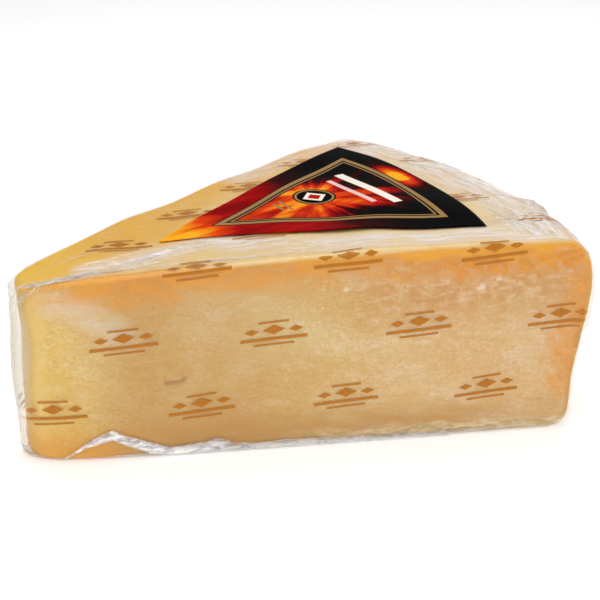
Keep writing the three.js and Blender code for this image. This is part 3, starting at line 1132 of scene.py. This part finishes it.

# Families of fine folds, each fold between two guide lines: how many there are, and the ranges
# that a fold's share of the length, its height, its half width and its milkiness are drawn from.
# A fold's milkiness is partly painted glints, where the folded film would catch the light.
FOLD_FAMILIES = [
    # The pinched fold along the tip half of the top front edge, and its knots.
    (4, (0.6, 1.0), (0.4, 0.8), (0.12, 0.24), (0.45, 0.7),
     [(22, -2.5, 55.5), (27, -5.5, 56), (32, -8.3, 57), (37, -10.3, 57.6), (43, -10.9, 58),
      (48, -12.4, 58.6), (53, -13.4, 59)],
     [(22.4, -3.4, 55.2), (27, -6.5, 56), (32, -9.0, 57), (37, -11.0, 57.6), (43, -11.7, 58),
      (48, -13.2, 58.6), (53, -14.2, 59)]),
    (1, (0.97, 0.99), (0.55, 0.7), (0.75, 0.85), (0.38, 0.45),
     [(23, -4.2, 55.8), (32, -8.6, 57), (43, -11.2, 58), (53, -13.7, 59), (64, -14.0, 60)],
     [(23, -4.4, 55.8), (32, -8.8, 57), (43, -11.4, 58), (53, -13.9, 59), (64, -14.2, 60)]),
    # The crossed strands from that fold to the label's front edge.
    (22, (0.15, 0.5), (0.1, 0.3), (0.12, 0.35), (0.1, 0.38),
     [(46, -11.4, 58.4), (54, -13.2, 59), (62, -14.2, 60), (72, -13.6, 61), (84, -14.5, 61.6),
      (96, -20, 62.3)],
     [(38, -2.2, 58), (47, -3.0, 59), (57, -2.2, 59.8), (66, -2.6, 60.4), (78, -7.0, 61.3),
      (92, -12.8, 62.2)]),
    # Long thin lines just behind the top front edge.
    (9, (0.25, 0.7), (0.08, 0.2), (0.12, 0.22), (0.3, 0.6),
     [(50, -15.2, 58.8), (71, -23.2, 60.9), (92, -31.8, 62.1), (114, -40.6, 63)],
     [(52, -13.6, 59), (71, -20.0, 60.9), (90, -27.6, 62.1), (112, -36.4, 63)]),
    # The film gathered round the tip's shoulder, and fine lines over the top behind it.
    (7, (0.4, 0.9), (0.12, 0.3), (0.2, 0.45), (0.2, 0.5),
     [(19.5, 1, 43), (20, 0.5, 50), (23, -1, 54.5), (29, -4, 56.6)],
     [(21.5, -5, 41), (22, -5.5, 48), (25, -6.8, 53), (31, -9, 56)]),
    (8, (0.25, 0.7), (0.06, 0.18), (0.12, 0.3), (0.08, 0.3),
     [(24, -1, 56), (34, -0.5, 57.7), (50, 1, 59.2), (66, 2, 60.4)],
     [(26, 3, 56.3), (36, 6, 57.9), (52, 10, 59.3), (66, 14, 60.4)]),
    # The long crease behind the front corner of the rim.
    (3, (0.7, 0.95), (0.2, 0.35), (0.15, 0.3), (0.35, 0.6),
     [(166.6, -26, 64), (166.2, -38, 64), (165.8, -48.4, 64), (169.1, -63, 63.3)],
     [(167.8, -26, 64), (167.4, -38, 64), (167.0, -48.4, 64), (170.3, -63, 63.3)]),
    # Crumples over the front corner of the rim.
    (9, (0.2, 0.6), (0.15, 0.4), (0.2, 0.6), (0.12, 0.45),
     [(150, -46, 64), (160, -52, 64), (170, -58, 63.4), (178, -63, 61)],
     [(164, -26, 64), (174, -34, 64), (182, -40, 62.5), (189, -46, 58)]),
    (9, (0.25, 0.7), (0.15, 0.5), (0.2, 0.5), (0.15, 0.5),
     [(168, -26, 64), (169, -42, 64), (169.5, -56, 63.8), (169, -64, 62)],
     [(184, -22, 61.5), (186, -36, 60.5), (184, -50, 60), (180, -62, 59)]),
    # The rest of the rim's shoulder.
    (9, (0.12, 0.4), (0.15, 0.4), (0.25, 0.6), (0.1, 0.4),
     [(168, 56, 62), (175, 36, 63.5), (178, 10, 63.5), (176, -16, 63.5)],
     [(178, 60, 58), (186, 38, 60), (190, 10, 60), (187, -18, 61)]),
    # Long glossy lines that run with the rim.
    (14, (0.2, 0.6), (0.08, 0.25), (0.15, 0.4), (0.2, 0.5),
     [(163, 50, 63.4), (170, 20, 64), (169, -10, 64), (166, -36, 64), (163, -56, 63.6)],
     [(182, 54, 60), (186, 22, 62), (186, -8, 62), (183, -36, 61.5), (179, -62, 59.5)]),
    # Upright folds down the tip.
    (4, (0.3, 0.8), (0.1, 0.25), (0.3, 0.5), (0.15, 0.35),
     [(21.5, -5.5, 52), (20.8, -4.6, 38), (21, -4.6, 22), (21.6, -5, 5)],
     [(20, 3.5, 52), (19.8, 3.0, 38), (20, 3.0, 22), (20.5, 3.6, 5)]),
    # The ear that stands up on the rim's shoulder.
    (2, (0.9, 1.0), (1.2, 1.7), (1.5, 2.2), (0.15, 0.3),
     [(181.5, -25.0, 62.9), (184.0, -29.5, 62.2), (186.0, -34.0, 61), (186.2, -38.5, 60.6)],
     [(182.0, -25.5, 62.6), (184.6, -30.0, 61.8), (186.6, -34.0, 60.6), (186.8, -38.5, 60.2)]),
    # Folds down the rim, near its front corner.
    (3, (0.25, 0.6), (0.15, 0.3), (0.4, 0.7), (0.1, 0.25),
     [(178, -67, 6), (180, -67, 30), (181, -66, 52)],
     [(182, -57, 6), (185, -56, 30), (186, -54, 54)]),
    # The film's hem along the foot of the front face.
    (22, (0.12, 0.5), (0.12, 0.3), (0.15, 0.35), (0.2, 0.6),
     [(32, -12, 0.3), (80, -30.4, 0.3), (130, -49.4, 0.3), (176, -66.8, 0.6)],
     [(32, -12, 1.0), (80, -30.4, 1.6), (130, -49.4, 2.2), (176, -66.8, 3.4)]),
]

FOLD_ROWS = 7
FOLD_STEP = 0.45
FOLD_SINK = 0.06


def fold_material(name, shade, light, through=0.0):
    s = Shade(name)
    along, inward, z = cut_face_place(s)
    drawn_out = s.join(s.times(along, 0.35), inward, s.times(z, 1.3))
    wrinkle = s.noise(drawn_out, 2.0, detail=4, roughness=0.6, distortion=0.8)
    # Painted shade in the crinkles' hollows and painted light on their crests, whose white veil is
    # thicker as painted glints.
    colour = s.mix(s.ramp(wrinkle, 0.32, 0.66), shade, light)
    opaque = s.times(s.attribute("milk"), s.ramp(wrinkle, 0.32, 0.66, 0.4, 1.0))
    normal = s.bump(wrinkle, 0.35, 0.0006)
    return film_layer(s, opaque, colour, normal, roughness=0.12, through=through)


def slow_noise(draw, scale, count, window):
    """Random numbers, each the mean of a window of wilder ones."""
    wild = draw.normal(scale=scale, size=count + window - 1)
    return np.convolve(wild, np.ones(window) / window, mode="valid")


def make_flap():
    draw = np.random.default_rng(SEED + 3)
    count, rows = 340, 18
    along = np.linspace(FLAP_ALONG[0], FLAP_ALONG[-1], count)
    top, low, milk = (np.interp(along, FLAP_ALONG, side) for side in (FLAP_TOP, FLAP_LOW, FLAP_MILK))
    top = np.maximum(top + slow_noise(draw, 0.7, count, 13), low + 0.3)
    share = np.linspace(0, 1, rows)[:, None]
    heights = low * (1 - share) + top * share
    flat = along[:, None] * ALONG_FRONT + heights[..., None] * np.array([0, 0, 1])
    down = onto_surface(flat.reshape(-1, 3))
    row = np.repeat(np.arange(rows), count)
    column = np.tile(np.arange(count), rows)
    waves = np.zeros(len(down))
    for _ in range(10):
        run, rise = draw.uniform(0.04, 0.3), draw.uniform(0.2, 1.1)
        sway = 1.5 * np.sin(column * draw.uniform(0.03, 0.09))
        waves += np.abs(np.sin(column * run + row * rise + draw.uniform(0, 6) + sway)) / 10
    lift = 0.25 + 0.55 * np.sin(np.pi * row / (rows - 1)) ** 0.7 + 0.6 * (waves - 0.5)
    points = down + field_normals(down) * np.maximum(lift, 0.1)[:, None]
    points[:, 2] = np.maximum(points[:, 2], FLAP_LOWEST)
    piece = new_piece("film_flap", points, strip_faces(rows, count),
                      fold_material("film_flap", FLAP_SHADE, FLAP_LIGHT))
    soft_edges = np.sin(np.pi * (row + 0.5) / rows) ** 0.5
    set_attributes(piece, milk=np.clip(np.tile(milk, rows) * soft_edges * 1.5, 0, 1))


def fold_line(guides, span, draw):
    """A line between two guides that keeps or slowly changes its share of the way across."""
    count = 200

    def evened(guide):
        fine = resample(guide)
        at = np.linspace(0, 1, len(fine))
        return np.stack([np.interp(np.linspace(0, 1, count), at, fine[:, k]) for k in range(3)], axis=1)
    low, high = (evened(guide) for guide in guides)
    start = draw.uniform(0, 1 - span)
    first, last = int(start * (count - 1)), int((start + span) * (count - 1))
    across = np.linspace(draw.random(), draw.random(), count)
    across = across + 0.1 * np.sin(np.linspace(0, draw.uniform(4, 14), count) + draw.uniform(0, 6))
    line = low * (1 - across[:, None]) + high * across[:, None]
    return resample(onto_surface(line[first:last + 1]), FOLD_STEP)


def fold_strip(line, height, half_width, draw):
    """A pinched strip along a line: it rises from the film and sinks back at both sides."""
    count = len(line)
    out = field_normals(line)
    forward = np.gradient(line, axis=0)
    forward /= np.linalg.norm(forward, axis=1, keepdims=True)
    side = np.cross(out, forward)
    window = 5 + 8 * int(2 * height)
    uneven = slow_noise(draw, 0.25 * math.sqrt(window), count, window)
    ends = np.sin(np.pi * np.linspace(0.02, 0.98, count)) ** 0.5 * np.clip(1 + uneven, 0.35, 1.7)
    lean = 0.5 * slow_noise(draw, 1.0, count, 9)
    strip = []
    for place in np.linspace(-1, 1, FOLD_ROWS):
        rise = height * (1 - abs(place)) ** 0.8 * ends - FOLD_SINK
        shift = half_width * (place * (0.4 + 0.6 * ends) + lean * (1 - abs(place)))
        strip.append(line + out * rise[:, None] + side * shift[:, None])
    return np.concatenate(strip)


def make_folds():
    draw = np.random.default_rng(SEED + 9)
    points, faces, milk = [], [], []
    for count, spans, heights, half_widths, milks, *guides in FOLD_FAMILIES:
        for _ in range(count):
            line = fold_line(guides, draw.uniform(*spans), draw)
            strip = fold_strip(line, draw.uniform(*heights), draw.uniform(*half_widths), draw)
            faces += strip_faces(FOLD_ROWS, len(line), sum(map(len, points)))
            points.append(strip)
            milk.append(np.full(len(strip), draw.uniform(*milks)))
    piece = new_piece("film_folds", np.concatenate(points), faces,
                      fold_material("film_folds", FOLD_SHADE, FOLD_LIGHT, 0.3))
    set_attributes(piece, milk=np.concatenate(milk))


# ---- the label ----------------------------------------------------------------------------------

LABEL_BLACK = (0.003, 0.0026, 0.0026, 1)
LABEL_GOLD = linear(158, 124, 80)
LABEL_CREAM = linear(246, 236, 220)
LABEL_GLOWS = [
    (0.0, LABEL_BLACK),
    (0.25, linear(52, 3, 4)),
    (0.48, linear(160, 10, 12)),
    (0.70, linear(222, 66, 14)),
    (0.92, linear(250, 176, 36)),
]
LABEL_SEAL = (58, 4)
LABEL_FLARE = (93, 7)


def label_axes():
    """The label's own axes: from its apex along its middle, and across towards the back."""
    along = unit((LABEL_BACK_CORNER + LABEL_FRONT_CORNER) / 2 - LABEL_APEX)
    return along, np.array([-along[1], along[0]])


def label_arc():
    """The centre and radius of the label's swelling edge."""
    chord = LABEL_BACK_CORNER - LABEL_FRONT_CORNER
    span = np.linalg.norm(chord)
    radius = (span * span / 4 + LABEL_BULGE ** 2) / (2 * LABEL_BULGE)
    outward = np.array([chord[1], -chord[0]]) / span
    return (LABEL_FRONT_CORNER + LABEL_BACK_CORNER) / 2 + outward * (LABEL_BULGE - radius), radius


def label_edge(count):
    """Points along the label's swelling edge, from its front corner to its back corner."""
    centre, radius = label_arc()
    front, back = LABEL_FRONT_CORNER - centre, LABEL_BACK_CORNER - centre
    angles = np.linspace(math.atan2(front[1], front[0]), math.atan2(back[1], back[0]), count)
    return centre + radius * np.stack([np.cos(angles), np.sin(angles)], axis=1)


def make_label():
    across, along = 100, 120
    edge = label_edge(across + 1)
    shares = np.linspace(0.004, 1, along + 1)[:, None, None]
    flat = (LABEL_APEX + shares * (edge - LABEL_APEX)).reshape(-1, 2)
    over = onto_surface(np.column_stack([flat, top_height(np.hypot(*flat.T)) + 0.5]))
    run = (flat - LABEL_APEX) @ label_axes()[0]
    front_edge = np.tile(np.linspace(1, 0, across + 1), along + 1) ** 6
    wave = 0.35 * front_edge * (1 + np.sin(run / 6.5))
    wave = wave * smooth_step(run, 12, 25) * smooth_step(run, 70, 45)
    lifted = over[:, 2] + LABEL_LIFT + wave
    top = np.column_stack([flat, lifted])
    bottom = np.column_stack([flat, lifted - LABEL_THICKNESS])
    shift = len(top)
    faces = [(face[0], *face[:0:-1]) for face in strip_faces(along + 1, across + 1)]
    faces += strip_faces(along + 1, across + 1, shift)
    grid = np.arange(shift).reshape(along + 1, across + 1)
    border = np.concatenate([grid[0], grid[1:, -1], grid[-1, -2::-1], grid[-2:0:-1, 0]]).tolist()
    faces += [(a, b, b + shift, a + shift) for a, b in zip(border, border[1:] + border[:1])]
    points = np.concatenate([top, bottom])
    new_piece("label_sheet", points, faces, label_material(), "label")


def label_place(s):
    """How far a point lies along the label, across it and in from its edges."""
    x, y, _ = s.split(s.place())
    flat = s.join(x, y)
    away = s.vector("SUBTRACT", flat, (*LABEL_APEX, 0))
    along, across = (s.vector("DOT_PRODUCT", away, (*axis, 0)) for axis in label_axes())

    def edge_gap(corner, sign):
        line = sign * unit(corner - LABEL_APEX)
        return s.vector("DOT_PRODUCT", away, (-line[1], line[0], 0))
    centre, radius = label_arc()
    arc_gap = s.minus(radius, s.vector("DISTANCE", flat, (*centre, 0)))
    inset = s.least(edge_gap(LABEL_BACK_CORNER, -1), edge_gap(LABEL_FRONT_CORNER, 1), arc_gap)
    return along, across, inset


def label_glow(s, along, across, inset):
    """A glow that starts at the apex, one with rays behind the seal, and a flare by the far edge."""
    streaks = s.noise(s.join(s.times(along, 0.25), across), 7, detail=3, roughness=0.6)
    spread = s.math("ABSOLUTE", s.over(across, s.plus(along, 14)))
    outside = s.ramp(inset, 9, 10, 1.0, 0.0)
    reach = s.math("MULTIPLY_ADD", outside, -22.0, 70.0)
    apex_glow = s.times(1.02, s.ramp(s.over(along, reach), 1.0, 0.0), s.ramp(spread, 1.2, 0.1))
    apex_glow = s.largest(apex_glow, s.times(0.46, outside, s.ramp(along, 72, 40)))
    off_along, off_across = s.minus(along, LABEL_SEAL[0]), s.minus(across, LABEL_SEAL[1])
    seal_far = s.vector("LENGTH", s.join(off_along, off_across))
    turn = s.math("ARCTAN2", off_across, off_along)
    rays = s.noise(s.join(s.times(turn, 12), s.times(seal_far, 0.1)), 5, detail=3)
    seal_glow = s.ramp(s.over(seal_far, s.ramp(rays, 0.4, 0.66, 20, 46)), 1.1, 0.1)
    seal_glow = s.times(0.8, seal_glow, s.minus(1.0, outside))
    flare_along, flare_across = s.minus(along, LABEL_FLARE[0]), s.minus(across, LABEL_FLARE[1])
    flare_gap = s.join(s.times(flare_along, 1.7), s.times(flare_across, 0.75))
    flare = s.ramp(s.vector("LENGTH", flare_gap), 15, 0)
    glow = s.minus(s.plus(seal_glow, apex_glow), s.times(apex_glow, seal_glow))
    return s.times(s.largest(glow, flare), s.ramp(streaks, 0.2, 0.7, 0.72, 1.12))


def label_material():
    s = Shade("label")
    along, across, inset = label_place(s)
    place = (along, across)

    def band(low, high):
        """1 between two distances in from the edges."""
        return s.ramp(s.minus(s.away(inset, (low + high) / 2), (high - low) / 2), 0.08, -0.08)
    colour = s.layered(s.colours(label_glow(s, along, across, inset), LABEL_GLOWS), [
        # A double gold line with dark edges, as a border.
        (LABEL_BLACK, band(8.3, 12.6)),
        (LABEL_GOLD, s.largest(band(8.8, 10.6), band(11.4, 12.0))),
        # Plain bars where words would stand.
        (LABEL_CREAM, bar(s, place, (77.5, 2), 1.7, 18)),
        (linear(240, 196, 190), bar(s, place, (71, 2), 1.0, 14)),
        (LABEL_GOLD, s.largest(bar(s, place, (46, 2), 0.5, 4.4), bar(s, place, (43.4, 2), 0.5, 3.2))),
        # A round seal with a plain lozenge in it.
        (LABEL_BLACK, disc(s, place, LABEL_SEAL, 7.2)),
        (LABEL_GOLD, disc(s, place, LABEL_SEAL, 6.6)),
        (LABEL_BLACK, disc(s, place, LABEL_SEAL, 5.8)),
        (LABEL_CREAM, lozenge(s, place, LABEL_SEAL, 4.4, 4.4)),
        (linear(176, 22, 16), lozenge(s, place, LABEL_SEAL, 2.6, 2.6)),
    ])
    paper = s.noise(s.place(), 0.8, detail=2)
    swell = s.noise(s.place(), 26, detail=1)
    return s.principled({
        "Base Color": colour,
        "Roughness": s.ramp(paper, 0.3, 0.7, 0.32, 0.42),
        "Specular IOR Level": 0.003,
        "Normal": s.bump(paper, 0.05, 0.0002, s.bump(swell, 0.3, 0.002)),
    })


# ---- floor, light and camera --------------------------------------------------------------------

CAMERA_AZIMUTH = -28.94
CAMERA_ELEVATION = 23.22
CAMERA_DISTANCE = 0.3816
CAMERA_TARGET = (0.00345, -0.01218, 0.03721)
CAMERA_LENS = 72.0

# A little light of its own keeps the floor white where the lamps don't reach.
FLOOR_GLOW = 0.27
FLOOR_SIZE = 6.0

# The lamps: a place, the height of the point they aim at over the middle, a size and a power.
LAMPS = {
    "key": ((-0.75, -0.95, 0.95), 0.03, 0.9, 8.1),
    "overhead": ((0.05, 0.25, 1.35), 0.05, 1.1, 10.2),
    "fill": ((0.9, -0.8, 0.5), 0.03, 0.8, 3.8),
}

WORLD_OVERHEAD = 0.25
WORLD_LEFT = 0.4
WORLD_RIGHT = 0.85
BRIGHT_BELOW = 14.0
DIM_ABOVE = 40.0


def make_floor():
    size = FLOOR_SIZE
    mesh = bpy.data.meshes.new("floor")
    corners = [(-size, -size, 0), (size, -size, 0), (size, size, 0), (-size, size, 0)]
    mesh.from_pydata(corners, [], [(0, 1, 2, 3)])
    s = Shade("floor")
    tone = s.ramp(s.noise(s.place(), 300, detail=2), 0.3, 0.7, 0.90, 0.93)
    mesh.materials.append(s.principled({
        "Base Color": s.mix(tone, (0, 0, 0, 1), WHITE),
        "Roughness": 0.7,
        "Specular IOR Level": 0.2,
        "Emission Color": WHITE,
        "Emission Strength": FLOOR_GLOW,
    }))
    floor = put_in_scene("floor", mesh)


def aim(name, data, place, way):
    """A lamp or a camera at a place, looking along a way."""
    made = put_in_scene(name, data)
    made.location = place
    made.rotation_euler = way.to_track_quat("-Z", "Y").to_euler()
    return made


def make_world():
    """A white studio that is brightest round the horizon, and there on the right."""
    world = bpy.data.worlds.new("studio")
    world.use_nodes = True
    w = Nodes(world.node_tree)
    x, _, z = w.split(w.node("ShaderNodeTexCoord").outputs["Generated"])
    low, high = (math.sin(math.radians(angle)) for angle in (BRIGHT_BELOW, DIM_ABOVE))
    horizon = w.ramp(x, 0.15, 0.7, WORLD_LEFT, WORLD_RIGHT)
    background = world.node_tree.nodes["Background"]
    w.put(background.inputs["Strength"], w.ramp(z, low, high, horizon, WORLD_OVERHEAD))
    w.put(background.inputs["Color"], WHITE)
    bpy.context.scene.world = world


def make_lights():
    for name, (place, aim_height, size, power) in LAMPS.items():
        data = bpy.data.lights.new(name, "AREA")
        data.size = size
        data.energy = power
        aim(name, data, place, Vector((0, 0, aim_height)) - Vector(place))
    make_world()


def make_camera():
    azimuth, elevation = math.radians(CAMERA_AZIMUTH), math.radians(CAMERA_ELEVATION)
    back = Vector((
        math.sin(azimuth) * math.cos(elevation),
        -math.cos(azimuth) * math.cos(elevation),
        math.sin(elevation),
    ))
    data = bpy.data.cameras.new("camera")
    data.lens = CAMERA_LENS
    data.clip_start = 0.01
    place = Vector(CAMERA_TARGET) + CAMERA_DISTANCE * back
    bpy.context.scene.camera = aim("camera", data, place, -back)


make_camera()
make_lights()
make_floor()
make_cheese()
make_film()
make_folds()
make_flap()
make_label()
bpy.context.scene.view_settings.view_transform = "Standard"
